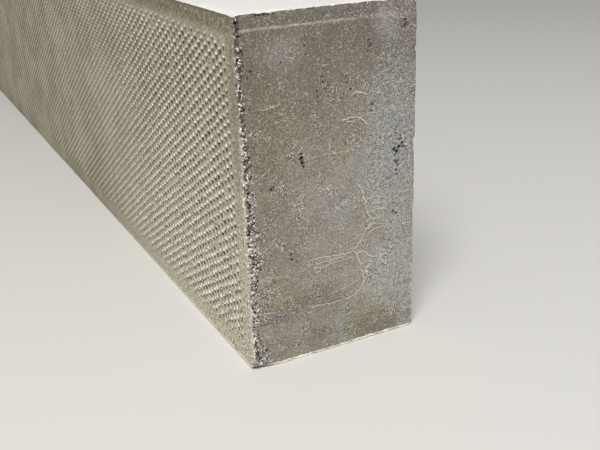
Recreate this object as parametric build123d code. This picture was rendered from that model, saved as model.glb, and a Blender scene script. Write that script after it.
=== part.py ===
"""Concrete kerb stone, pressed in one piece and standing on its base.

The section is a plain upright rectangle with a rounded walking arris and an eased foot. Close under
the top, each end steps back to the narrow strip that the mould's lid formed, over a sloping ledge.

Millimetres: X is across the stone, Y along it and Z up, from the middle of the base.
"""

import os

from build123d import *

# The stone
LENGTH = 1000.0
WIDTH = 125.0
HEIGHT = 230.0

# Its arrises
TOP_ARRIS_RADIUS = 4.0
BASE_ARRIS_RADIUS = 2.0
UPRIGHT_ARRIS_RADIUS = 1.5

# The strip that the mould's lid formed at each end
LID_STRIP_DEPTH = 9.0
LID_SETBACK = 0.8
LID_LEDGE_FALL = 1.0


def plan_outline(length, level):
    """The outline of the stone seen from above, at one level, with its upright arrises rounded."""
    return Pos(0, 0, level) * RectangleRounded(WIDTH, length, UPRIGHT_ARRIS_RADIUS)


def pressed_block():
    """The block as it leaves the mould: a tall lower part, a sloping ledge and the lid's strip."""
    strip_foot = HEIGHT - LID_STRIP_DEPTH
    ledge_foot = strip_foot - LID_LEDGE_FALL
    strip_length = LENGTH - 2 * LID_SETBACK

    lower_part = extrude(plan_outline(LENGTH, 0), ledge_foot)
    ledge = loft([plan_outline(LENGTH, ledge_foot), plan_outline(strip_length, strip_foot)])
    strip = extrude(plan_outline(strip_length, strip_foot), LID_STRIP_DEPTH)
    return lower_part + ledge + strip


def section_bar():
    """A bar of the stone's section, with its four long arrises rounded."""
    outline = Pos(0, HEIGHT / 2) * Rectangle(WIDTH, HEIGHT)
    top_corners = outline.vertices().group_by(Axis.Y)[-1]
    outline = fillet(top_corners, TOP_ARRIS_RADIUS)
    base_corners = outline.vertices().group_by(Axis.Y)[0]
    outline = fillet(base_corners, BASE_ARRIS_RADIUS)
    return extrude(Plane.XZ * outline, LENGTH / 2, both=True)


def kerb_stone():
    """The whole stone: the block from the mould, kept to its rounded section."""
    return pressed_block() & section_bar()


os.makedirs("parts", exist_ok=True)
export_step(kerb_stone(), "parts/kerb_stone.step")
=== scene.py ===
import math
import random

import bpy
import numpy as np
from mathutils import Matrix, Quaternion, Vector, kdtree, noise
from mathutils.geometry import delaunay_2d_cdt


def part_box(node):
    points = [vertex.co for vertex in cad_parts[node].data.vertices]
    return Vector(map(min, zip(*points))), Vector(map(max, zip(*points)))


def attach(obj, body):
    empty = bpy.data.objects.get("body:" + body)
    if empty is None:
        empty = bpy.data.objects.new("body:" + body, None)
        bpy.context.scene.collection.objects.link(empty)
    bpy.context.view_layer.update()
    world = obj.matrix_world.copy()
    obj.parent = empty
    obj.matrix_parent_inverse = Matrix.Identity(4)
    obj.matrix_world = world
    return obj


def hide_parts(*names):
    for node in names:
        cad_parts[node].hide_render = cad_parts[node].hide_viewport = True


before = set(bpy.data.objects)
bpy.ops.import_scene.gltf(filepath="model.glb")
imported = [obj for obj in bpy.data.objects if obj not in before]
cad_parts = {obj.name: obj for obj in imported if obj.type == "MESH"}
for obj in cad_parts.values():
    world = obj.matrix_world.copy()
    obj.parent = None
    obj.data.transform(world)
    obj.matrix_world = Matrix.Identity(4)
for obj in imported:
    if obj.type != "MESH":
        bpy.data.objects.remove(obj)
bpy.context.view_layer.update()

# The look of one pressed concrete kerb stone. Lengths are in millimetres until a mesh, a camera or a
# lamp is made. A place on the stone is written across, along, up: across from the studded back, along
# from the near end, and up from the base.
MM = 0.001
LOW, HIGH = (Vector(corner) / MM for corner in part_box("kerb_stone"))
WIDTH, LENGTH, HEIGHT = HIGH - LOW

# Arrises and lid strip, as the CAD solid has them
TOP_ARRIS_RADIUS = 4.0
BASE_ARRIS_RADIUS = 2.0
UPRIGHT_ARRIS_RADIUS = 1.5
LID_STRIP_DEPTH = 9.0
LID_SETBACK = 0.8
LID_LEDGE_FALL = 1.0
LID_FADE = 20.0

# Studs that the filter plate's holes leave on the back
STUD_PITCH = 6.55
STUD_COLUMN = STUD_PITCH * math.cos(math.radians(30))
STUD_DIAMETER = 3.6
STUD_HEIGHT = 0.95
FIRST_COLUMN = 9.53
FIRST_ROW_BELOW_TOP = 15.45
LAST_ROW_BELOW_TOP = 216.6
LAST_COLUMN = LENGTH - 13.0

# Sides of a stud as far along the stone as each distance: fewer where the studs look small
STUD_SIDES = ((150.0, 7), (400.0, 6), (LENGTH, 5))

# Studs broken off or worn: how far along, their shares (worn with broken) and the height left
WORN_REACH = 250.0
BROKEN_SHARE = 0.01
BROKEN_HEIGHT = 0.25
WORN_SHARE = 0.04
WORN_HEIGHT = 0.6

# How far in from the near end, and from the pattern's top and foot, the studs are lower
LOW_NEAR_END = 13.0
LOW_NEAR_MARGIN = 11.0

SEED = 7


# Points on the flat sides

class Spacing:
    """How far apart the points of one edge lie, how that grows along it, and the rows beside it."""

    def __init__(self, step, growth=0.0, rows=()):
        self.step = step
        self.growth = growth
        self.rows = rows

    def stations(self, length):
        """Places from one end of the edge to the other."""
        places = [0.0]
        while places[-1] < length:
            places.append(places[-1] + self.step * (1 + self.growth * places[-1] / length))
        return [place * length / places[-1] for place in places]


EDGES = {
    ("back", "near"): Spacing(0.95),
    ("near", "road"): Spacing(1.4, rows=(0.6, 1.5)),
    ("near", "top"): Spacing(1.3, rows=(0.6, 1.4)),
    ("base", "near"): Spacing(1.3, rows=(0.6, 1.4)),
    ("back", "top"): Spacing(2.4, growth=1.2, rows=(0.8, 1.8, 3.0, 4.3)),
    ("back", "base"): Spacing(2.4, growth=1.2, rows=(0.8, 1.9)),
    ("road", "top"): Spacing(6.0, rows=(0.9, 2.2, 4.3)),
    ("base", "road"): Spacing(8.0, rows=(0.9, 2.1)),
    ("back", "far"): Spacing(2.5, rows=(0.7, 1.6)),
    ("far", "road"): Spacing(3.5, rows=(0.7, 1.6)),
    ("far", "top"): Spacing(3.0, rows=(0.7, 1.6)),
    ("base", "far"): Spacing(3.5, rows=(0.7, 1.6)),
}

# Each side: the axis that it faces along, whether it is the high one, and its own two axes
ACROSS, ALONG, UP = range(3)
SIDES = {
    "back": (ACROSS, False, ALONG, UP),
    "road": (ACROSS, True, ALONG, UP),
    "near": (ALONG, False, ACROSS, UP),
    "far": (ALONG, True, ACROSS, UP),
    "base": (UP, False, ACROSS, ALONG),
    "top": (UP, True, ACROSS, ALONG),
}
FACING = {(axis, high): name for name, (axis, high, _, _) in SIDES.items()}
SIZE = (WIDTH, LENGTH, HEIGHT)


class Sheet:
    """One flat side of the stone, as places on it with their rise above it and their tint.

    A tint of 1 makes it pale, with lime on a tide line and with a painted highlight on the upper foot of a
    stud; a tint of -1 makes it dark, with a painted shadow under a stud and with a dark row below a tide
    line.
    """

    def __init__(self, name):
        self.name = name
        self.axis, self.high, self.first, self.second = SIDES[name]
        self.width = SIZE[self.first]
        self.height = SIZE[self.second]
        self.random = random.Random(f"{SEED} {name}")
        self.places = []
        self.rises = []
        self.tints = []
        self.borders = []
        for own, other in ((self.first, self.second), (self.second, self.first)):
            for high in (False, True):
                beside = FACING[own, high]
                spacing = EDGES[tuple(sorted((name, beside)))]
                self.borders.append((own, high, spacing, spacing.stations(SIZE[other])))

    def add(self, place, rise=0.0, tint=0.0):
        self.places.append(Vector(place))
        self.rises.append(rise)
        self.tints.append(tint)

    def border_place(self, own, high, inset, station):
        """The place at a distance inside one border, at a station along it."""
        away = SIZE[own] - inset if high else inset
        return (away, station) if own == self.first else (station, away)

    def edge(self):
        """Adds the points on the four borders, once each."""
        seen = set()
        for own, high, _, stations in self.borders:
            for station in stations:
                place = self.border_place(own, high, 0.0, station)
                key = (round(place[0], 3), round(place[1], 3))
                if key not in seen:
                    seen.add(key)
                    self.add(place)

    def fill(self, places, clearance):
        """Adds plain points where nothing lies within the clearance."""
        tree = kdtree.KDTree(len(self.places))
        for index, place in enumerate(self.places):
            tree.insert((place.x, place.y, 0), index)
        tree.balance()
        for x, y in places:
            inside = 0.2 < x < self.width - 0.2 and 0.2 < y < self.height - 0.2
            if inside and tree.find((x, y, 0))[2] > clearance:
                self.add((x, y))

    def rows(self):
        """Adds the rows of points beside each border that its arris is rounded with."""
        for own, high, spacing, stations in self.borders:
            for inset in spacing.rows:
                row = [self.border_place(own, high, inset, station) for station in stations]
                self.fill(row, 0.45)

    def lattice(self, left, right, low, high, step, jitter=0.25):
        """Adds points about one step apart in a rectangle of the side."""
        row_step = step * math.cos(math.radians(30))
        places = []
        row = 0
        y = low
        while y < high:
            x = left + (row % 2) * step / 2
            while x < right:
                nudge = [self.random.uniform(-jitter, jitter) * step for _ in range(2)]
                places.append((x + nudge[0], y + nudge[1]))
                x += step
            y += row_step
            row += 1
        self.fill(places, 0.62 * step)

    def disc(self, centre, radius, rise, sides, inner=0.66, fullness=0.75, shadow_and_highlight=0.0):
        """Adds a small dome, or a pit where the rise is negative: a foot, a shoulder and a crown.

        A painted shadow lies under a dome, at the lowest point of its foot, and a painted highlight at the
        highest.
        """
        turn = self.random.uniform(-0.2, 0.2) - sides / 4 if shadow_and_highlight else self.random.random()
        for scale, part, lead in ((1.0, 0.0, 0.0), (inner, fullness, 0.5)):
            for side in range(sides):
                angle = 2 * math.pi * (side + turn + lead) / sides
                reach = radius * scale
                place = (centre[0] + reach * math.cos(angle), centre[1] + reach * math.sin(angle))
                steep = math.copysign(abs(math.sin(angle)) ** 1.5, math.sin(angle))
                self.add(place, rise * part, shadow_and_highlight * (1 - part / fullness) * steep)
        self.add(centre, rise)

    def triangles(self):
        """The points that are kept, and the triangles between them, by Delaunay's rule."""
        places, _, faces, sources, _, _ = delaunay_2d_cdt(self.places, [], [], 0, 1e-4, True)
        first = [source[0] for source in sources]
        rises = [self.rises[index] for index in first]
        tints = [self.tints[index] for index in first]
        points = np.zeros((len(places), 3))
        points[:, self.axis] = SIZE[self.axis] if self.high else 0.0
        points[:, self.first] = [place.x for place in places]
        points[:, self.second] = [place.y for place in places]
        faces = np.array([face for face in faces if len(face) == 3])
        corners = points[faces]
        turns = np.cross(corners[:, 1] - corners[:, 0], corners[:, 2] - corners[:, 0])[:, self.axis]
        wrong = (turns > 0) != self.high
        faces[wrong] = faces[wrong][:, ::-1]
        return points, faces, np.array(rises), np.array(tints)


# The near end's marks, as across and down from the top of the studded arris

# Pits: across, down, diameter and depth
END_PITS = (
    (40.4, 87.6, 2.4, 1.6), (40.6, 90.4, 3.0, 2.2), (41.2, 93.4, 3.0, 2.2), (41.8, 96.2, 2.0, 1.4),
    (63.0, 92.6, 1.5, 1.0), (63.6, 95.4, 1.6, 1.0), (108.4, 96.0, 3.0, 2.2), (110.8, 98.0, 2.6, 2.0),
    (112.6, 95.2, 2.6, 1.9), (114.6, 92.6, 2.5, 1.8), (115.6, 95.4, 2.0, 1.4), (113.0, 89.8, 2.0, 1.4),
    (110.4, 105.0, 2.2, 1.5), (111.6, 107.6, 2.0, 1.3), (110.2, 110.6, 2.6, 1.7), (110.8, 113.8, 2.0, 1.3),
    (108.4, 139.6, 1.8, 1.2), (110.6, 141.2, 2.0, 1.3), (89.0, 23.4, 2.0, 1.3), (90.2, 27.0, 2.0, 1.3),
    (88.8, 30.4, 1.6, 1.1), (79.0, 26.0, 1.6, 1.0), (116.0, 13.8, 2.0, 1.4), (116.2, 17.0, 2.0, 1.4),
    (73.0, 44.0, 1.8, 1.2), (73.6, 47.8, 1.9, 1.3), (76.0, 52.2, 1.8, 1.2), (71.0, 54.2, 1.4, 0.9),
    (56.0, 41.8, 1.6, 1.1), (56.8, 45.2, 1.6, 1.1), (52.4, 50.0, 1.6, 1.1), (52.6, 53.6, 1.5, 1.0),
    (52.8, 56.6, 1.4, 0.9), (45.0, 22.0, 1.4, 0.9), (45.6, 27.0, 1.4, 0.9), (29.0, 30.0, 1.6, 1.0),
    (9.6, 33.0, 1.8, 1.2), (19.4, 107.0, 2.0, 1.4), (30.4, 153.0, 1.8, 1.2), (31.2, 156.4, 2.0, 1.4),
    (34.4, 158.4, 1.6, 1.1), (20.0, 43.0, 1.4, 0.9), (60.0, 47.0, 1.4, 0.9), (92.0, 64.0, 1.8, 1.2),
    (91.4, 67.8, 1.6, 1.1), (2.4, 5.4, 3.6, 2.4), (3.2, 9.0, 2.6, 2.0), (1.6, 26.0, 2.2, 1.5),
    (2.0, 71.0, 2.4, 1.7), (1.4, 103.0, 2.4, 1.7), (1.8, 142.0, 2.2, 1.5), (2.2, 187.0, 2.4, 1.7),
    (3.4, 12.4, 2.0, 1.5), (4.4, 21.0, 2.2, 1.6), (2.6, 31.0, 2.0, 1.4), (15.0, 1.9, 1.8, 1.3),
    (17.6, 1.8, 2.2, 1.5), (20.2, 1.7, 2.0, 1.4), (23.0, 1.7, 2.2, 1.5), (26.4, 1.8, 1.8, 1.2),
)

# Tide lines that lime left where the stone dried
TIDE_LINES = (
    (1.0, (
        (81.0, 115.0), (84.0, 121.0), (86.0, 127.0), (86.6, 133.0), (88.4, 137.0), (91.0, 141.4),
        (96.0, 142.0),
    )),
    (0.7, ((87.0, 127.4), (92.0, 126.0), (100.0, 127.0))),
    (1.0, ((91.0, 143.4), (86.0, 149.0), (82.0, 155.0), (78.0, 159.4), (73.0, 161.0), (66.0, 161.4))),
    (0.7, ((66.0, 161.4), (58.0, 160.6), (50.0, 160.2), (41.0, 160.6))),
    (0.8, ((98.0, 148.4), (92.0, 149.0), (87.0, 152.0), (84.0, 150.0), (78.0, 152.2))),
    (1.0, ((77.0, 161.0), (80.0, 166.0), (81.6, 171.0), (83.0, 177.0), (84.6, 181.0), (85.0, 185.0))),
    (0.8, ((85.0, 185.0), (82.0, 190.0), (76.0, 194.0), (68.0, 195.2), (56.0, 195.0), (44.0, 194.0))),
    (0.8, ((82.0, 163.0), (86.0, 164.0), (90.0, 168.0), (96.0, 169.4), (102.0, 169.0))),
    (0.6, ((84.6, 179.0), (88.0, 176.4), (92.0, 173.0), (97.0, 172.0))),
    (0.5, ((85.6, 184.0), (91.0, 181.6), (98.0, 181.0))),
    (0.5, ((11.0, 55.0), (18.0, 56.4), (26.0, 55.0))),
    (0.8, ((78.0, 55.0), (84.0, 55.4), (88.0, 57.0))),
    (0.9, ((72.0, 70.0), (80.0, 70.0), (85.0, 73.0), (88.0, 77.0))),
    (0.6, ((73.0, 72.2), (78.0, 72.8))),
    (0.3, ((42.0, 92.0), (56.0, 91.0), (72.0, 91.2))),
    (0.45, ((42.0, 163.4), (54.0, 164.0), (70.0, 163.2))),
    (0.4, ((7.0, 190.2), (20.0, 190.8))),
    (0.4, ((60.0, 188.0), (70.0, 186.4), (79.0, 183.6))),
    (0.4, ((90.0, 61.0), (93.0, 55.6), (99.0, 52.0), (107.0, 51.0))),
    (0.4, ((92.0, 48.0), (98.0, 44.6), (106.0, 43.0))),
    (0.4, ((86.6, 131.6), (93.0, 130.0), (101.0, 131.0))),
    (0.4, ((89.0, 136.6), (95.0, 135.0), (102.0, 136.2))),
    (0.4, ((82.0, 172.0), (88.0, 171.2), (95.0, 174.0), (101.0, 175.4))),
    (0.35, ((7.0, 166.2), (40.0, 166.4), (76.0, 165.8))),
    (0.5, ((88.0, 146.4), (94.0, 145.0), (100.0, 146.4))),
    (0.35, ((88.0, 60.0), (91.0, 55.0), (97.0, 50.0), (106.0, 48.6))),
    (0.4, ((84.0, 70.4), (90.0, 69.0), (97.0, 69.6))),
    (0.4, ((86.0, 193.0), (92.0, 189.0), (98.0, 187.6))),
)
TIDE_WIDTH = 0.42
TIDE_STEP = 0.9
TIDE_RISE = 0.22

# The edge of the dry band beside the road face, as down and across
DRY_EDGE = (
    (0, 97), (23, 96), (41, 92), (57, 89), (74, 89), (87, 87), (103, 89), (118, 86), (132, 89),
    (144, 95), (155, 100), (166, 93), (175, 87), (189, 85), (198, 82), (210, 91), (221, 105), (230, 110),
)

# How the near end crumbles beside the studded arris: down, how far across it is bare, and how much
# farther loose grains are scattered
CRUMBLING = (
    (0, 3.6, 4.0), (50, 3.6, 4.0), (92, 3.9, 5.0), (104, 4.8, 9.0), (125, 5.4, 11.0), (150, 5.4, 11.0),
    (162, 4.4, 9.0), (178, 3.4, 6.0), (204, 3.4, 6.0), (216, 4.8, 13.0), (230, 5.8, 16.0),
)

# Stains on the near end: across, down, half width, half height, softness and share
END_STAINS = {
    "pale": ((75, 145, 57, 72, 0.9, 1.0), (52, 210, 50, 18, 0.8, 1.0)),
    "olive": (
        (18, 62, 24, 78, 0.7, 1.0), (20, 162, 20, 26, 0.8, 0.7), (80, 79, 10, 9, 0.8, 0.7),
        (48, 220, 18, 8, 0.7, 0.8), (35, 100, 20, 22, 0.9, 0.5), (7, 7, 8, 8, 0.7, 1.0),
    ),
    "bluish": (
        (112, 86, 22, 40, 0.6, 1.0), (71, 131, 8, 9, 0.8, 0.8), (60, 176, 6, 5, 0.8, 0.7),
        (86, 100, 8, 18, 0.8, 0.5), (66, 214, 12, 9, 0.6, 1.0),
    ),
    "rosy": (
        (106, 186, 24, 28, 0.7, 1.0), (120, 220, 9, 9, 0.5, 1.0), (102, 13, 7, 9, 0.7, 0.6),
        (88, 172, 10, 12, 0.8, 0.6), (55, 120, 22, 12, 0.9, 0.4), (30, 24, 12, 10, 0.9, 0.5),
    ),
    "umber": (
        (48, 185, 16, 6, 0.8, 1.0), (58, 191, 13, 4, 0.8, 0.8), (20, 9, 26, 4, 0.8, 0.8),
        (82, 7, 12, 3, 0.6, 0.8),
    ),
    "damp": ((92, 217, 21, 9, 0.35, 1.0), (81, 202, 9, 5, 0.6, 0.6), (52, 213, 8, 6, 0.6, 0.6)),
    "mottle": (
        (69, 122, 2.2, 2.2, 0.7, 1.0), (75.6, 113, 3, 3, 0.8, 0.7), (78, 138, 3.6, 3.6, 0.8, 0.6),
        (60, 146, 2.6, 2.6, 0.8, 0.7), (50, 133, 4.2, 4.2, 0.8, 0.5), (48, 128, 2, 2, 0.7, 0.5),
        (78, 168, 6, 5, 0.8, 0.5),
    ),
}


def smooth_route(points, step, wander, seed):
    """Places about one step apart on a smooth line through the points, with a slight wander."""
    route = [Vector(point) for point in points]
    ends = [2 * route[0] - route[1], *route, 2 * route[-1] - route[-2]]
    places = []
    for before, start, stop, after in zip(ends, ends[1:], ends[2:], ends[3:]):
        count = max(1, round((stop - start).length / step))
        for index in range(count):
            t = index / count
            place = 0.5 * (
                2 * start + (stop - before) * t + (2 * before - 5 * start + 4 * stop - after) * t ** 2
                + (3 * start - before - 3 * stop + after) * t ** 3
            )
            places.append(place)
    places.append(route[-1])
    moved = []
    for place in places:
        spot = Vector((place.x / 3.0, place.y / 3.0, seed))
        nudge = Vector((noise.noise(spot), noise.noise(spot + Vector((0, 0, 50)))))
        moved.append(place + wander * nudge)
    return moved


def tide_line(sheet, points, strength, seed):
    """Adds one tide line: a row of lime, bare rows beside it and a dark row below."""
    route = smooth_route(points, TIDE_STEP, 1.2 * strength, seed)
    tree = kdtree.KDTree(len(sheet.places))
    for index, place in enumerate(sheet.places):
        tree.insert((place.x, place.y, 0), index)
    tree.balance()
    for index, (across, down) in enumerate(route):
        back, ahead = route[max(index - 1, 0)], route[min(index + 1, len(route) - 1)]
        side = (ahead - back).orthogonal().normalized() * TIDE_WIDTH
        for shift, tint in ((0, 1.0), (-1, 0.0), (1, 0.0), (2.0, -1.0), (3.2, 0.0)):
            place = Vector((across, down)) + side * shift
            x, y = place.x, HEIGHT - place.y
            if 1 < x < WIDTH - 1 and tree.find((x, y, 0))[2] > 0.3:
                broken = noise.noise(Vector((x / 5, y / 5, seed)))
                broken += 0.6 * noise.noise(Vector((x / 2, y / 2, seed)))
                fade = strength * min(max(1.0 + 1.5 * broken, 0.0), 1.0)
                sheet.add((x, y), TIDE_RISE * max(tint, 0.0) * fade, tint * fade)


def back_sheet():
    """The studded back, with its plain margins."""
    sheet = Sheet("back")
    sheet.edge()
    column = 0
    along = FIRST_COLUMN
    while along <= LAST_COLUMN:
        down = FIRST_ROW_BELOW_TOP + (STUD_PITCH / 2 if column % 2 else 0.0)
        while down <= LAST_ROW_BELOW_TOP:
            add_stud(sheet, along, HEIGHT - down)
            down += STUD_PITCH
        along += STUD_COLUMN
        column += 1
    sheet.rows()
    sheet.lattice(0, 4.0, 0, HEIGHT, 1.1)
    sheet.lattice(4.0, FIRST_COLUMN - 3.5, 0, HEIGHT, 1.8)
    sheet.lattice(0, 120, 0, 14, 2.2)
    sheet.lattice(0, 120, HEIGHT - 13, HEIGHT, 2.2)
    sheet.lattice(0, LENGTH, 0, 14, 3.6)
    sheet.lattice(0, LENGTH, HEIGHT - 13, HEIGHT, 3.6)
    sheet.lattice(LENGTH - 14, LENGTH, 0, HEIGHT, 3.6)
    return sheet


def add_stud(sheet, along, up):
    """One stud: lower beside the margins, with a few worn or broken ones."""
    draw = sheet.random
    stray = 0.35 * (1 - 0.8 * along / LENGTH)
    centre = (along + draw.uniform(-stray, stray), up + draw.uniform(-stray, stray))
    worn = draw.random()
    height = STUD_HEIGHT * draw.uniform(0.85, 1.12)
    height *= min(1.0, 0.4 + (along - FIRST_COLUMN) / LOW_NEAR_END)
    height *= min(1.0, 0.35 + (up - HEIGHT + LAST_ROW_BELOW_TOP) / LOW_NEAR_MARGIN)
    height *= min(1.0, 0.6 + (HEIGHT - FIRST_ROW_BELOW_TOP - up) / LOW_NEAR_MARGIN)
    if along < WORN_REACH and worn < BROKEN_SHARE:
        height *= BROKEN_HEIGHT
    elif along < WORN_REACH and worn < WORN_SHARE:
        height *= WORN_HEIGHT
    radius = STUD_DIAMETER / 2 * draw.uniform(0.92, 1.07)
    sides = next(count for reach, count in STUD_SIDES if along <= reach)
    # The stud's foot holds a painted shadow at its lowest point and a painted highlight at its highest, as
    # strong as the stud is high
    sheet.disc(centre, radius, height, sides, inner=0.62, fullness=0.72, shadow_and_highlight=height / STUD_HEIGHT)


def near_sheet():
    """The near end, with its pits, its tide lines and close points where it crumbles."""
    sheet = Sheet("near")
    sheet.edge()
    for across, down, diameter, depth in END_PITS:
        size = diameter * sheet.random.uniform(0.9, 1.15)
        sides = sheet.random.choice((5, 6, 7))
        sheet.disc((across, HEIGHT - down), size / 2, -depth, sides, inner=0.7, fullness=0.8)
    for number, (strength, points) in enumerate(TIDE_LINES):
        tide_line(sheet, points, strength, number)
    strip_foot = HEIGHT - LID_STRIP_DEPTH
    for level in (strip_foot - LID_LEDGE_FALL, strip_foot):
        sheet.fill([(across, level) for across in np.arange(1.0, WIDTH - 1, 1.5)], 0.6)
    sheet.rows()
    sheet.lattice(0, 10.0, 0, HEIGHT, 0.9)
    sheet.lattice(0, 20.0, 0, 30.0, 1.1)
    sheet.lattice(0, WIDTH, HEIGHT - 13, HEIGHT, 1.9)
    sheet.lattice(WIDTH - 6, WIDTH, 0, HEIGHT, 1.7)
    sheet.lattice(0, WIDTH, 0, HEIGHT, 2.4)
    return sheet


def far_sheet():
    """The far end, with a few pits."""
    sheet = Sheet("far")
    sheet.edge()
    for _ in range(16):
        across = sheet.random.uniform(8, WIDTH - 8)
        up = sheet.random.uniform(8, HEIGHT - 16)
        size = sheet.random.uniform(1.6, 3.6)
        sheet.disc((across, up), size / 2, -0.6 * size, 7, inner=0.72, fullness=0.85)
    strip_foot = HEIGHT - LID_STRIP_DEPTH
    for level in (strip_foot - LID_LEDGE_FALL, strip_foot):
        sheet.fill([(across, level) for across in np.arange(2.0, WIDTH - 2, 3.0)], 0.8)
    sheet.rows()
    sheet.lattice(0, WIDTH, 0, HEIGHT, 4.4)
    return sheet


def cast_sheet(name, step, pits, largest):
    """A plain side with air holes: the road face, the top or the base."""
    sheet = Sheet(name)
    sheet.edge()
    sheet.rows()
    taken = []
    while len(taken) < pits:
        size = 1.6 + (largest - 1.6) * sheet.random.random() ** 3
        across = sheet.random.uniform(9, sheet.width - 9)
        spot = Vector((across, sheet.random.uniform(9, sheet.height - 9)))
        if all((spot - other).length > size + 4 for other in taken):
            taken.append(spot)
            sides = 7 if size < 3.5 else 10
            sheet.disc(spot, size / 2, -0.55 * size, sides, inner=0.78, fullness=0.85)
    sheet.lattice(0, sheet.width, 0, sheet.height, step)
    return sheet


# The shape of the stone

def smooth_step(low, high, value):
    """0 below low, 1 above high, and smooth between them."""
    t = np.clip((value - low) / (high - low), 0.0, 1.0)
    return t * t * (3 - 2 * t)


def rounded(points):
    """Where the sharp block's points lie on the rounded one, and the way out of it there."""
    middle = np.array([WIDTH / 2, 0.0, HEIGHT / 2])
    offset = points - middle
    signs = np.sign(offset)
    reach = np.abs(offset)
    radius = np.where(offset[:, UP] > 0, TOP_ARRIS_RADIUS, BASE_ARRIS_RADIUS)
    past = np.stack([reach[:, ACROSS] - WIDTH / 2, reach[:, UP] - HEIGHT / 2], axis=1) + radius[:, None]
    corner = (past > 0).all(axis=1)
    size = np.maximum(np.hypot(past[:, 0], past[:, 1]), 1e-9)
    largest = past.max(axis=1)
    ways = past / size[:, None]
    pulled = ways * largest[:, None]
    result = points.copy()
    gap = np.stack([WIDTH / 2 - reach[:, ACROSS], HEIGHT / 2 - reach[:, UP]], axis=1)
    outline_gap = gap.min(axis=1)
    beside = np.zeros((len(points), 3))
    sideways = gap[:, 0] <= gap[:, 1]
    beside[:, ACROSS] = np.where(corner, ways[:, 0], sideways) * signs[:, ACROSS]
    beside[:, UP] = np.where(corner, ways[:, 1], ~sideways) * signs[:, UP]
    for column, axis, half in ((0, ACROSS, WIDTH / 2), (1, UP, HEIGHT / 2)):
        moved = middle[axis] + signs[:, axis] * (half - radius + pulled[:, column])
        result[:, axis] = np.where(corner, moved, result[:, axis])

    to_far = points[:, ALONG] > LENGTH / 2
    end_gap = np.where(to_far, LENGTH - points[:, ALONG], points[:, ALONG])
    end_way = np.where(to_far, 1.0, -1.0)
    bend = UPRIGHT_ARRIS_RADIUS
    endward = np.clip(bend - end_gap, 0, None)
    outward = np.clip(bend - outline_gap, 0, None)
    turning = (endward > 0) & (outward > 0)
    size = np.maximum(np.hypot(endward, outward), 1e-9)
    largest = np.maximum(endward, outward)
    new_end = endward / size * largest
    new_out = outward / size * largest
    shift = np.where(turning, new_out - outward, 0.0)
    result += beside * shift[:, None]
    result[:, ALONG] += np.where(turning, (new_end - endward) * end_way, 0.0)

    on_end = end_gap < 1e-6
    normals = np.where(on_end[:, None], 0.0, beside)
    normals[:, ALONG] = np.where(on_end, end_way, 0.0)
    blend = beside * (new_out / np.maximum(largest, 1e-9))[:, None]
    blend[:, ALONG] = end_way * new_end / np.maximum(largest, 1e-9)
    normals = np.where(turning[:, None], blend, normals)
    normals /= np.maximum(np.linalg.norm(normals, axis=1), 1e-9)[:, None]
    return result, normals


def set_back_strip(points):
    """Moves the lid's strip of each end in, over its sloping ledge."""
    strip_foot = HEIGHT - LID_STRIP_DEPTH
    depth = LID_SETBACK * smooth_step(strip_foot - LID_LEDGE_FALL, strip_foot, points[:, UP])
    near = np.clip(1 - points[:, ALONG] / LID_FADE, 0, 1)
    far = np.clip(1 - (LENGTH - points[:, ALONG]) / LID_FADE, 0, 1)
    points[:, ALONG] += depth * (near - far)


def wave(points, size, seed, octaves=1):
    """Smooth noise from about -1 to 1 at each point, with features of one size."""
    values = np.empty(len(points))
    shift = Vector((seed * 13.7, seed * 7.9, seed * 3.1))
    for index, point in enumerate(points):
        spot = Vector(point) / size + shift
        if octaves == 1:
            values[index] = noise.noise(spot)
        else:
            values[index] = noise.fractal(spot, 1.0, 2.0, octaves)
    return values


# How far past the bare width single loose grains lie
LOOSE_REACH = 16


def crumble_width(up):
    """How far the crumbling reaches across the near end at each level, and the scatter past it."""
    levels = np.stack([up * 0, up * 0, up], axis=1)
    downs, bare, scatter = zip(*CRUMBLING)
    width = np.interp(HEIGHT - up, downs, bare) + 2.4 * wave(levels, 7.0, 3)
    width += 1.4 * wave(levels, 24.0, 4)
    return width, np.interp(HEIGHT - up, downs, scatter)


def crumbled(points):
    """How much the stone crumbles at each point, from 0 to 1: most along the studded arris."""
    across, along, up = points.T
    reach, scatter = crumble_width(up)
    on_end = 1 - smooth_step(reach - 1.5, reach + scatter, across)
    on_back = 1 - smooth_step(0.5, 2.4, along)
    patchy = smooth_step(-0.05, 0.3, wave(points, 8.0, 31))
    under_top = 0.8 * (1 - smooth_step(0.6, 2.4, HEIGHT - up)) * patchy
    road_arris = 0.8 * (1 - smooth_step(0.8, 3.6, WIDTH - across)) * patchy
    road_arris = road_arris * (1 - smooth_step(110, 160, up))
    loose = 0.55 * smooth_step(0.34, 0.52, wave(points, 5.0, 33))
    loose = loose * (1 - smooth_step(reach, reach + LOOSE_REACH, across))
    on_near = np.maximum.reduce([on_end, under_top, road_arris, loose]) * (along < 0.01)
    return np.maximum(on_near, on_end * on_back * (along < 40))


def grains(points, size, seed):
    """For each point, how near it is to the gap between two grains, and its own grain's draw."""
    gaps = np.empty(len(points))
    draws = np.empty(len(points))
    for index, point in enumerate(points):
        spot = Vector(point) / size + Vector((seed, 0, 0))
        reach, centres = noise.voronoi(spot)
        gaps[index] = reach[1] - reach[0]
        draws[index] = noise.cell(centres[0] * 3.7 + Vector((0.5, 0.5, 0.5)))
    return gaps, draws


def edge_gap(points):
    """The distance from each point to the nearest edge of the sharp block."""
    gaps = np.minimum(points, np.array(SIZE) - points)
    return np.sort(gaps, axis=1)[:, 1]


# The skin's relief: its slow and quick waves, the grains of a crumbled arris, the gaps between
# them, the holes of those that fell out, the margin's sand and the foot's lip
SLOW_WAVE_RISE = 0.16
QUICK_WAVE_RISE = 0.07
CRUMB_GRAIN = 2.0
GAP_DEPTH = 0.8
FALLEN_DEPTH = 1.1
SAND_RISE = 0.28
LIP_RISE = 0.45
LIP_LEVEL = 0.7


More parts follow.
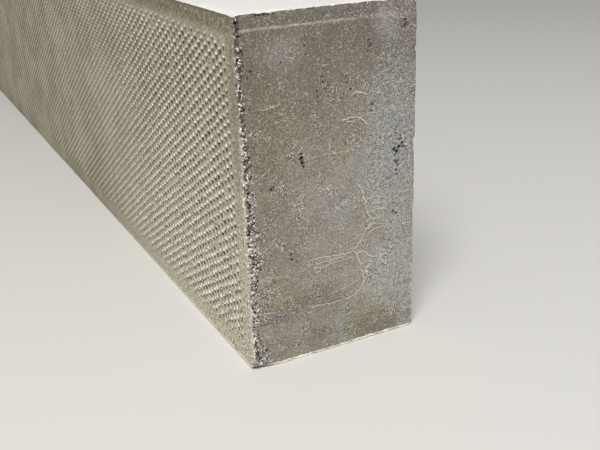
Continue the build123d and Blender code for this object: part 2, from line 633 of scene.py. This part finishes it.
def relief(points):
    """How far each point stands out, in millimetres, and how deep and how crumbled it is."""
    across, along, up = points.T
    rise = SLOW_WAVE_RISE * wave(points, 55.0, 1) + QUICK_WAVE_RISE * wave(points, 9.0, 2)

    crumb = crumbled(points)
    depth = np.zeros(len(points))
    chosen = np.flatnonzero(crumb > 0.01)
    gaps, draws = grains(points[chosen], CRUMB_GRAIN, 5)
    gap_depth = GAP_DEPTH * (1 - smooth_step(0.02, 0.45, gaps))
    fallen = FALLEN_DEPTH * smooth_step(0.6, 0.85, draws)
    depth[chosen] = crumb[chosen] * (gap_depth + fallen)

    margin = smooth_step(FIRST_COLUMN + 3, FIRST_COLUMN - 2, along) * (across < 1e-6)
    rise += SAND_RISE * margin * wave(points, 2.2, 6)

    ragged = (1 - smooth_step(0.8, 2.6, edge_gap(points))) * (along < 8)
    bites = np.clip(wave(points, 3.0, 8) - 0.12, 0, None) * 2.6
    long_ragged = (1 - smooth_step(0.5, 3.0, edge_gap(points))) * (along >= 8)
    long_bites = np.clip(wave(points, 6.0, 9, octaves=2) - 0.25, 0, None) * 2.2
    rise -= np.maximum(ragged * bites, long_ragged * long_bites)
    lip = np.clip(1 - np.abs(up - LIP_LEVEL) / 0.8, 0, 1) * (along < 0.01) * (across > 4)
    rise += LIP_RISE * lip * (1 + 0.6 * wave(points, 5.0, 12))
    return rise - depth, depth, crumb


# Chips: a place on the stone, the way that it broke away, and how deep
CHIPS = (
    ((0.0, 0.0, 0.0), (-0.9, -0.4, -1.0), 1.5),
    ((9.0, 0.0, 0.0), (-0.2, -0.7, -1.0), 1.8),
    ((WIDTH, 0.0, HEIGHT), (1.0, -0.8, 0.9), 3.4),
    ((WIDTH, 0.0, 0.0), (1.0, -0.6, -1.0), 2.2),
    ((0.0, 0.0, HEIGHT), (-1.0, -0.9, 0.5), 1.8),
    ((17.0, 0.0, HEIGHT), (0.1, -1.0, 0.9), 1.4),
    ((24.0, 0.0, HEIGHT), (0.0, -1.0, 0.8), 1.2),
    ((WIDTH, 0.0, 131.0), (1.0, -0.9, 0.1), 1.4),
    ((WIDTH, 0.0, 81.0), (1.0, -1.0, 0.0), 1.2),
)


def chip(points, place, way, depth):
    """Breaks a piece off: what stands past a rough plane is moved back to it."""
    way = np.array(way) / np.linalg.norm(way)
    reach = (points - np.array(place)) @ way + depth
    near = np.flatnonzero((reach > 0) & (np.linalg.norm(points - np.array(place), axis=1) < 6 * depth))
    rough = 0.35 * wave(points[near], 1.8, 11)
    points[near] -= way * np.clip(reach[near] + rough, 0, None)[:, None]


# Marks, as shares from 0 to 1 at each point

# Rust on the back: along, down and size
RUST_SPOTS = (
    (166, 71, 6.4), (163, 135, 4.6), (104, 184, 4.6), (106, 181, 3.7), (108, 198, 4.6),
    (37, 189, 5.5),
)


def dry_share(points):
    """How dry the near end is: the paler band beside the road face."""
    downs, acrosses = zip(*DRY_EDGE)
    edge = np.interp(HEIGHT - points[:, UP], downs, acrosses)
    wobble = 6.0 * wave(points, 12.0, 21) + 4.0 * wave(points, 4.5, 22)
    return smooth_step(-6.0, 9.0, points[:, ACROSS] - edge + wobble)


def stain_share(points, stains):
    """The soft-edged ovals of one kind of stain on the near end, each at its own share."""
    total = np.zeros(len(points))
    wobble = 0.45 * wave(points, 7.0, 23) + 0.25 * wave(points, 2.6, 24)
    for across, down, half_width, half_height, soft, share in stains:
        x = (points[:, ACROSS] - across) / half_width
        y = (HEIGHT - points[:, UP] - down) / half_height
        total = np.maximum(total, share * (1 - smooth_step(1 - soft, 1 + soft, np.hypot(x, y) + wobble)))
    return total


def rust_share(points):
    """Faint rust on the back."""
    total = np.zeros(len(points))
    for along, down, size in RUST_SPOTS:
        x = (points[:, ALONG] - along) / (0.7 * size)
        y = (HEIGHT - points[:, UP] - down) / (1.4 * size)
        total += np.exp(-(x ** 2 + y ** 2))
    broken = 0.6 + 0.9 * wave(points, 4.0, 26)
    return np.clip(total * broken, 0, 1)


def dusty_share(from_end, up):
    """Pale dust on the back: most near the end and low down."""
    return (1 - smooth_step(60.0, 400.0, from_end)) * (1.0 - 0.85 * smooth_step(20.0, 190.0, up))


def marks(points, normals, depth, crumb, rises, tints):
    """Every mark by its attribute's name."""
    on_near = (points[:, ALONG] < 6) * np.clip(-normals[:, ALONG] * 1.6, 0, 1)
    up = points[:, UP]
    from_end = points[:, ALONG]
    stains = {name: stain_share(points, each) * on_near for name, each in END_STAINS.items()}
    road_arris = 1 - smooth_step(0.4, 2.2, WIDTH - points[:, ACROSS])
    beside_arris = 1 - smooth_step(6.0, 26.0, points[:, ACROSS])
    beside_end = 0.56 * (1 - smooth_step(5.0, 14.0, from_end)) * smooth_step(100.0, 165.0, up)
    margin = np.maximum(beside_end, 1 - smooth_step(8.0, 14.0, HEIGHT - up))
    return stains | {
        # Pale: lime on the near end's tide lines, and a painted highlight on the upper feet of the back's
        # studs. Dark: the rows below the tide lines, and a painted shadow under the back's studs
        "lime_and_stud_highlight": np.clip(tints, 0, 1),
        "stud_shadow_and_dark_row": np.clip(-tints, 0, 1),
        "upper": smooth_step(0.5 * HEIGHT, 0.95 * HEIGHT, up),
        "sandy": 1 - smooth_step(20.0, 420.0, from_end),
        "dusty": dusty_share(from_end, up),
        "dry": dry_share(points) * on_near,
        "crumb": crumb,
        "hollow": smooth_step(0.7, 1.6, depth),
        "edge": (1 - smooth_step(0.6, 2.8, points[:, ACROSS])) * on_near,
        "road_arris": road_arris * (1 - smooth_step(50, 120, up)) * on_near,
        "rust": rust_share(points),
        "pit": np.clip(-rises / 1.5, 0, 1) ** 1.2,
        # How high on a stud each point lies; the back's material paints a highlight on the crowns with it
        "stud": np.clip(1.2 * rises / STUD_HEIGHT, 0, 1) * (points[:, ACROSS] < 1e-6),
        "margin": margin,
        "grainy": beside_arris * (1 - smooth_step(60.0, 150.0, up)) * on_near,
        "studded": smooth_step(4.0, 9.0, edge_gap(points)),
        # Darker along the back's top arris
        "dark_top_strip": (1 - smooth_step(1.2, 4.2, HEIGHT - up)) * (points[:, ACROSS] < 1e-6),
        "ledge": (1 - smooth_step(0.5 * WIDTH, 0.8 * WIDTH, points[:, ACROSS])) * on_near,
        "low": (1 - smooth_step(30.0, 110.0, up)) * on_near,
    }


# The stone's mesh

# Edges sharper than this are shaded as creases
CREASE_DEGREES = 62

MATERIAL_OF_SIDE = {"back": 0, "near": 1, "far": 1, "top": 2, "road": 3, "base": 3}


def stone_arrays():
    """Points, triangles, rises, tints and material numbers of the whole stone."""
    sheets = [
        back_sheet(), near_sheet(), far_sheet(),
        cast_sheet("top", 6.5, 40, 3.5), cast_sheet("road", 10.0, 110, 7.0),
        cast_sheet("base", 16.0, 12, 5.0),
    ]
    all_points, all_faces, all_rises, all_tints, numbers = [], [], [], [], []
    count = 0
    for sheet in sheets:
        points, faces, rises, tints = sheet.triangles()
        all_points.append(points)
        all_faces.append(faces + count)
        all_rises.append(rises)
        all_tints.append(tints)
        numbers += [MATERIAL_OF_SIDE[sheet.name]] * len(faces)
        count += len(points)
    points = np.concatenate(all_points)
    faces = np.concatenate(all_faces)
    rises = np.concatenate(all_rises)
    tints = np.concatenate(all_tints)
    _, first, same = np.unique(np.round(points, 3), axis=0, return_index=True, return_inverse=True)
    same = same.reshape(-1)
    return points[first], same[faces], rises[first], tints[first], np.array(numbers)


def crease_feet(mesh, foot):
    """Keeps a crease around the foot of each stud, so that the back between the studs looks flat."""
    ends = np.empty(2 * len(mesh.edges), dtype=np.int32)
    mesh.edges.foreach_get("vertices", ends)
    creased = foot[ends.reshape(-1, 2)].all(axis=1)
    edges = mesh.attributes.get("sharp_edge") or mesh.attributes.new("sharp_edge", "BOOLEAN", "EDGE")
    already = np.empty(len(creased), dtype=bool)
    edges.data.foreach_get("value", already)
    edges.data.foreach_set("value", already | creased)


def kerb_stone(materials):
    """The stone: rounded, studded, crumbled, chipped and marked."""
    sharp, faces, rises, tints, numbers = stone_arrays()
    points, normals = rounded(sharp)
    rise, depth, crumb = relief(sharp)
    points += normals * (rise + rises)[:, None]
    set_back_strip(points)
    for place, way, deep in CHIPS:
        chip(points, place, way, deep)
    points[:, UP] = np.maximum(points[:, UP], 0.0)
    shares = marks(sharp, normals, depth, crumb, rises, tints)

    placed = (points + np.array([LOW.x, LOW.y, LOW.z])) * MM
    mesh = bpy.data.meshes.new("kerb_stone")
    mesh.from_pydata(placed.tolist(), [], faces.tolist())
    mesh.polygons.foreach_set("material_index", numbers.astype(np.int32))
    for name, values in shares.items():
        attribute = mesh.attributes.new(name, "FLOAT", "POINT")
        attribute.data.foreach_set("value", np.asarray(values, dtype=np.float32))
    for material in materials:
        mesh.materials.append(material)
    mesh.shade_smooth()
    mesh.set_sharp_from_angle(angle=math.radians(CREASE_DEGREES))
    crease_feet(mesh, (sharp[:, ACROSS] < 1e-6) & (tints != 0))
    mesh.update()
    stone = bpy.data.objects.new("pressed_kerb_stone", mesh)
    bpy.context.scene.collection.objects.link(stone)
    return stone


# Materials

def linear(colour):
    """An sRGB hex colour as linear red, green, blue and alpha."""
    parts = [int(colour[start:start + 2], 16) / 255 for start in (1, 3, 5)]
    return [part / 12.92 if part <= 0.04045 else ((part + 0.055) / 1.055) ** 2.4 for part in parts] + [1.0]


def per_size(millimetres):
    """The scale that gives a pattern features of this size, since the scene is in metres."""
    return 1 / (millimetres * MM)


def node(tree, kind, inputs=None, **settings):
    """Adds a node with its settings, and with each input as a value or a link."""
    made = tree.nodes.new(kind)
    for name, value in settings.items():
        setattr(made, name, value)
    for key, value in (inputs or {}).items():
        socket = made.inputs[key]
        if isinstance(value, bpy.types.NodeSocket):
            tree.links.new(value, socket)
        else:
            socket.default_value = value
    return made


class Finish:
    """A material as it is built up in layers: its colour, height and place.

    A share of a layer is a number, a socket, the name of one of the stone's marks, or a band: one of
    these and the range that is mapped smoothly onto 0 to 1, or onto a range of its own.
    """

    def __init__(self, name, colour):
        self.material = bpy.data.materials.new(name)
        self.material.use_nodes = True
        self.tree = self.material.node_tree
        self.tree.nodes.clear()
        self.place = node(self.tree, "ShaderNodeTexCoord").outputs["Object"]
        self.colour = linear(colour)
        self.height = None

    def share(self, value):
        """The number or socket that a share stands for."""
        if isinstance(value, str):
            return node(self.tree, "ShaderNodeAttribute", attribute_name=value).outputs["Fac"]
        if isinstance(value, tuple):
            source, low, high, start, stop = value if len(value) == 5 else (*value, 0.0, 1.0)
            inputs = {
                "Value": self.share(source), "From Min": low, "From Max": high,
                "To Min": start, "To Max": stop,
            }
            band = node(self.tree, "ShaderNodeMapRange", inputs, interpolation_type="SMOOTHSTEP")
            return band.outputs[0]
        return value

    def joined(self, operation, *shares):
        """Several shares added or multiplied into one."""
        total, *others = (self.share(each) for each in shares)
        for other in others:
            inputs = {0: total, 1: other}
            total = node(self.tree, "ShaderNodeMath", inputs, operation=operation).outputs[0]
        return total

    def lay(self, colour, *shares):
        """Lays a colour over what is there, by its shares multiplied together."""
        inputs = {0: self.joined("MULTIPLY", *shares), 6: self.colour, 7: linear(colour)}
        self.colour = node(self.tree, "ShaderNodeMix", inputs, data_type="RGBA").outputs[2]

    def texture(self, kind, size, shift, stretch=(1, 1, 1), **inputs):
        """A texture with features of one size, moved and stretched so that no two line up."""
        spot = {"Vector": self.place, "Scale": stretch, "Location": (shift, shift, shift)}
        inputs["Vector"] = node(self.tree, "ShaderNodeMapping", spot).outputs[0]
        inputs["Scale"] = per_size(size)
        return node(self.tree, kind, inputs)

    def noise(self, size, detail=2.0, roughness=0.5, stretch=(1, 1, 1), shift=0.0):
        """Smooth noise with features of one size, from about 0.3 to 0.7."""
        inputs = {"Detail": detail, "Roughness": roughness}
        return self.texture("ShaderNodeTexNoise", size, shift, stretch, **inputs).outputs["Fac"]

    def draws(self, size, shift):
        """Cells of one size, each with its own draw from 0 to 1."""
        colour = self.texture("ShaderNodeTexVoronoi", size, shift).outputs["Color"]
        return node(self.tree, "ShaderNodeSeparateColor", {0: colour}).outputs[0]

    def facing_up(self):
        """How far the surface faces up: -1 underneath and 1 on top."""
        normal = node(self.tree, "ShaderNodeNewGeometry").outputs["Normal"]
        return node(self.tree, "ShaderNodeSeparateXYZ", {0: normal}).outputs["Z"]

    def level(self, wander_mm=0.35):
        """How high up a place on the stone is, in metres, with a slight wander along it."""
        height = node(self.tree, "ShaderNodeSeparateXYZ", {0: self.place}).outputs["Z"]
        reach = wander_mm * MM
        return self.joined("ADD", height, (self.noise(7, detail=3, shift=8.1), 0.3, 0.7, -reach, reach))

    def speckle(self, size, share, dark, light, shift):
        """Fine dark and light grains by a share, and the noise that they follow."""
        grain = self.noise(size, detail=3, roughness=0.75, shift=shift)
        self.lay(dark, (grain, 0.49, 0.36), share)
        self.lay(light, (grain, 0.52, 0.65), share)
        return grain

    def finish(self, roughness, bump_mm, specular=0.3):
        """Ends the material with its shader, a little rougher on its higher grains."""
        inputs = {"Height": self.height, "Strength": 1.0, "Distance": bump_mm * MM}
        bump = node(self.tree, "ShaderNodeBump", inputs).outputs[0]
        rough = (self.height, 0.3, 0.7, roughness - 0.06, roughness + 0.06)
        inputs = {
            "Base Color": self.colour, "Normal": bump, "Specular IOR Level": specular,
            "Roughness": self.share(rough),
        }
        shader = node(self.tree, "ShaderNodeBsdfPrincipled", inputs).outputs[0]
        node(self.tree, "ShaderNodeOutputMaterial", {"Surface": shader})
        return self.material


def crumble(finish):
    """Bare grains where the arris crumbled: pale quartz and dark gaps, each about a millimetre."""
    loose = finish.joined("ADD", "crumb", finish.noise(1.5, shift=9.4))
    scattered = finish.share((loose, 0.93, 1.17))
    finish.lay("#8D877E", scattered, 0.4)
    finish.lay("#4A453F", scattered, "upper", 0.6)
    finish.lay("#CDC6B3", "edge", ("upper", 0.0, 0.8, 0.85, 0.2))
    dense = finish.joined("MULTIPLY", "crumb", "crumb")
    more = finish.joined("MULTIPLY", dense, ("upper", 0.0, 1.0, -0.36, -0.46))
    dark = finish.joined("ADD", finish.draws(1.25, 0.7), more)
    pale = finish.joined("ADD", finish.draws(0.95, 4.9), finish.joined("MULTIPLY", dense, 0.31))
    finish.lay("#F1EDE5", (pale, 1.0, 1.06, 0.0, 0.95))
    finish.lay("#211E1B", (dark, 0.0, -0.06, 0.0, 0.92), ("edge", 0.0, 1.0, 1.0, 0.35))
    # Painted shade in the gaps between grains and the holes of fallen grains, darker the deeper they lie
    finish.lay("#2F2C28", "hollow", 0.45)


def pressed_back_concrete():
    """Concrete pressed against a filter plate: dry, sandy and matt, buff, with painted highlights on its
    studs and painted shade and shadow under them.
    """
    finish = Finish("concrete_pressed_on_filter_plate", "#978F7B")
    finish.lay("#AEA793", (finish.noise(42, detail=5, roughness=0.62), 0.36, 0.64))
    finish.lay("#9A9A7E", (finish.noise(60, detail=3, shift=1.1), 0.55, 0.72, 0.0, 0.4))
    finish.lay("#A09A94", (finish.noise(80, shift=2.3), 0.52, 0.7, 0.0, 0.4))
    finish.lay("#D9D2BC", "dusty", 0.95)
    finish.lay("#AD8263", "rust", 0.4)

    # The studs: painted highlights on their crowns and upper feet, painted shade on their undersides and a
    # painted shadow below each one
    clear = finish.share(("sandy", 0.1, 1.05, 0.29, 1.0))
    # Painted highlight on the upper foot of each stud
    finish.lay("#F0EBDC", ("lime_and_stud_highlight", 0.45, 1.0), ("dusty", 0.0, 1.0, 0.25, 0.7), clear)
    # Painted highlight on the crown of each stud
    finish.lay("#FCF8EB", ("stud", 0.24, 0.84), ("dusty", 0.0, 0.8, 0.76, 1.0), clear)
    # Painted shade where the surface faces down: the undersides of the studs
    finish.lay("#231F15", (finish.facing_up(), -0.06, -0.34), "studded", clear)
    # Painted shadow below the foot of each stud
    finish.lay("#1F1B12", ("stud_shadow_and_dark_row", 0.24, 0.56), clear)

    sandy = finish.joined("MULTIPLY", "sandy", 0.6)
    dusty = finish.joined("MULTIPLY", "dusty", 0.3)
    share = finish.joined("ADD", sandy, 0.15, dusty)
    finish.height = finish.speckle(1.25, share, "#4F4936", "#EBE5D5", 0.3)
    finish.lay("#7A725B", "margin", 0.9)
    sandy = finish.joined("MULTIPLY", "sandy", 0.3)
    margin = finish.joined("MULTIPLY", "margin", 0.35)
    finish.speckle(1.7, finish.joined("ADD", sandy, margin), "#544E3A", "#D9D2BF", 2.7)
    finish.speckle(2.5, finish.joined("MULTIPLY", "dusty", 0.85), "#544E3A", "#F2ECDA", 5.7)
    # Darker along the top arris
    finish.lay("#59533F", "dark_top_strip", 0.75)
    finish.lay("#F8F3E4", (finish.level(), 3.3 * MM, 2.4 * MM), "dusty")
    crumble(finish)
    return finish.finish(0.92, 0.4)


# The end's stains in the order that they lie: mark, colour and share
END_LAYERS = (
    ("pale", "#9D978D", 0.55), ("dry", "#9F9D99", 0.68), ("upper", "#6A635A", 0.85),
    ("olive", "#6F6752", 0.5), ("bluish", "#8F9290", 0.65), ("rosy", "#A9A3A4", 0.65),
    ("umber", "#6A5F58", 0.6), ("damp", "#7B745C", 0.85), ("mottle", "#625C53", 0.5),
)
LEDGE_LINE_WIDTH = 1.1


def moulded_end_concrete():
    """Concrete cast against the mould's end plate: a close, brown-grey, slightly damp skin, darker than
    the back partly from the damp and partly as painted shade of a side that gets less light.
    """
    # The base colour holds painted shade: darker than the back's, partly for damp
    finish = Finish("concrete_cast_on_end_plate", "#746D62")
    finish.lay("#90897D", (finish.noise(42, detail=5, roughness=0.62), 0.38, 0.62))
    finish.lay("#7D7873", (finish.noise(22, detail=3, shift=0.9), 0.54, 0.7, 0.0, 0.7))
    finish.lay("#857E66", (finish.noise(24, detail=3, shift=1.9), 0.54, 0.7, 0.0, 0.7))
    cloud = finish.noise(4.5, detail=4, roughness=0.7, shift=6.6)
    finish.lay("#5F5950", (cloud, 0.48, 0.32, 0.0, 0.5))
    finish.lay("#ABA599", (cloud, 0.52, 0.68, 0.0, 0.42))
    for mark, colour, share in END_LAYERS:
        finish.lay(colour, mark, share)
    bands = finish.noise(13, detail=3, stretch=(0.3, 1, 1), shift=2.9)
    finish.lay("#756C65", (bands, 0.46, 0.34), "low", 0.55)
    finish.lay("#928F7A", (bands, 0.54, 0.66), "low", 0.55)

    # Fine grains and grit, closer together in clusters
    patches = (finish.noise(13, detail=4, roughness=0.7, shift=3.1), 0.5, 0.64)
    clusters = finish.joined("MULTIPLY", patches, ("upper", 0.5, 1.0, 1.0, 0.35))
    share = finish.joined(
        "ADD", finish.joined("MULTIPLY", clusters, 0.6), finish.joined("MULTIPLY", "dry", 0.3),
        finish.joined("MULTIPLY", "grainy", 0.4), ("upper", 0.3, 1.0, 0.38, 0.22),
    )
    finish.height = finish.speckle(0.85, share, "#39342D", "#DFD9CE", 0.3)
    grit = finish.draws(0.75, 3.3)
    share = finish.joined("ADD", finish.joined("MULTIPLY", clusters, 0.45), 0.25)
    finish.lay("#332F29", (grit, 0.13, 0.1), share)
    finish.lay("#DDD9CF", (grit, 0.88, 0.91), share)
    # Painted shade in the pits, darker the deeper they are
    finish.lay("#1E1B18", "pit", 0.95)
    # Dark rows below the tide lines, and lime along them
    finish.lay("#5A544B", "stud_shadow_and_dark_row", 0.6)
    finish.lay("#F1EADB", "lime_and_stud_highlight")

    # A pale line along the ledge, and another along the foot
    level = finish.level(0.15)
    middle = (HEIGHT - LID_STRIP_DEPTH - 0.4) * MM
    below = (level, middle - LEDGE_LINE_WIDTH * MM, middle)
    above = (level, middle + LEDGE_LINE_WIDTH * MM, middle)
    broken = finish.share((finish.noise(9, detail=3, shift=7.7), 0.4, 0.6, 0.15, 0.5))
    finish.lay("#C9C1B6", below, above, broken, "ledge")
    foot = (finish.level(), 2.2 * MM, 1.7 * MM)
    finish.lay("#F4EEE0", foot, (broken, 0.15, 0.5, 0.7, 1.0))
    finish.lay("#D5D1C9", "road_arris", 0.7)
    crumble(finish)
    return finish.finish(0.84, 0.18, 0.4)


def lid_pressed_top_concrete():
    """Concrete pressed by the mould's lid: a pale, dusty skin of lime, drawn out along the stone, made
    paler still as painted light on a top that faces the light.
    """
    # The base colour holds painted light: paler than the top's own skin
    finish = Finish("concrete_pressed_by_lid", "#DEDCD7")
    finish.lay("#E6E4E0", (finish.noise(42, detail=5, roughness=0.62), 0.36, 0.64))
    streaks = finish.noise(90, detail=4, stretch=(1, 0.25, 1), shift=4.2)
    finish.lay("#D2CFC8", (streaks, 0.5, 0.7, 0.0, 0.4))
    finish.height = finish.speckle(1.8, 0.18, "#96928A", "#E6E3DC", 0.3)
    return finish.finish(0.9, 0.2)


def cast_side_concrete():
    """Concrete cast on smooth steel: grey, close and even, with open air holes."""
    finish = Finish("concrete_cast_on_steel", "#97928A")
    finish.lay("#A8A39A", (finish.noise(42, detail=5, roughness=0.62), 0.36, 0.64))
    finish.lay("#8E897D", (finish.noise(70, detail=4, shift=5.1), 0.52, 0.7, 0.0, 0.5))
    streaks = finish.noise(120, detail=3, stretch=(1, 0.3, 1), shift=6.3)
    finish.lay("#BAB6AD", (streaks, 0.55, 0.7, 0.0, 0.35))
    finish.height = finish.speckle(1.5, 0.25, "#625E57", "#CFCBC3", 0.3)
    return finish.finish(0.82, 0.2)


# The studio

FLOOR_COLOUR = "#D9D7D2"
KEY_PLACE = (-0.8, -1.7, 2.2)
KEY_AIM = (0.0, -0.3, 0.1)
KEY_SIZE = 1.2
KEY_WATTS = 64
SKY_COLOUR = (1.0, 0.99, 0.97, 1.0)
SKY_STRENGTH = 0.32


def floor():
    """A plain pale floor, turned up gently far behind the stone."""
    near, far, half, rise, bend, steps = -4.0, 5.0, 7.0, 4.0, 2.0, 12
    profile = [(near, 0.0), (far, 0.0)]
    for step in range(1, steps + 1):
        angle = math.pi / 2 * step / steps
        profile.append((far + bend * math.sin(angle), bend * (1 - math.cos(angle))))
    profile.append((far + bend, rise))
    vertices = [(x, y, z) for y, z in profile for x in (-half, half)]
    faces = [(2 * i, 2 * i + 1, 2 * i + 3, 2 * i + 2) for i in range(len(profile) - 1)]
    mesh = bpy.data.meshes.new("studio_floor")
    mesh.from_pydata(vertices, [], faces)
    mesh.shade_smooth()
    sheet = bpy.data.objects.new("studio_floor", mesh)
    bpy.context.scene.collection.objects.link(sheet)
    material = bpy.data.materials.new("matt_paper")
    material.use_nodes = True
    shader = material.node_tree.nodes["Principled BSDF"]
    shader.inputs["Base Color"].default_value = linear(FLOOR_COLOUR)
    shader.inputs["Roughness"].default_value = 0.9
    mesh.materials.append(material)


def lamp(name, place, aim, size, watts):
    """A soft square lamp at a place in metres, turned to its aim."""
    light = bpy.data.lights.new(name, "AREA")
    light.shape = "SQUARE"
    light.size = size
    light.energy = watts
    made = bpy.data.objects.new(name, light)
    made.location = place
    made.rotation_euler = (Vector(aim) - Vector(place)).to_track_quat("-Z", "Y").to_euler()
    bpy.context.scene.collection.objects.link(made)


def lights():
    """Soft light from above and a little from the back's side, with an even fill."""
    lamp("key", KEY_PLACE, KEY_AIM, KEY_SIZE, KEY_WATTS)
    world = bpy.data.worlds.new("studio")
    world.use_nodes = True
    sky = world.node_tree.nodes["Background"]
    sky.inputs["Color"].default_value = SKY_COLOUR
    sky.inputs["Strength"].default_value = SKY_STRENGTH
    bpy.context.scene.world = world


# Camera, in metres: solved from the photograph's straight edges
CAMERA_PLACE = Vector((-0.2488, -0.9434, 0.2985))
CAMERA_AIM = Vector((-0.0267, -0.5040, 0.0978))
CAMERA_ROLL = -2.05
CAMERA_LENS = 50.85


def camera():
    """The photograph's view of the near end and the studded back."""
    lens = bpy.data.cameras.new("camera")
    lens.lens = CAMERA_LENS
    lens.sensor_width = 36.0
    made = bpy.data.objects.new("camera", lens)
    turn = (CAMERA_AIM - CAMERA_PLACE).to_track_quat("-Z", "Y")
    roll = Quaternion((0, 0, 1), math.radians(CAMERA_ROLL))
    made.location = CAMERA_PLACE
    made.rotation_euler = (turn @ roll).to_euler()
    bpy.context.scene.collection.objects.link(made)
    bpy.context.scene.camera = made


camera()
lights()
floor()
stone = kerb_stone([
    pressed_back_concrete(), moulded_end_concrete(), lid_pressed_top_concrete(), cast_side_concrete(),
])
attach(stone, "root")
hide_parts("kerb_stone")
bpy.context.scene.view_settings.view_transform = "Standard"
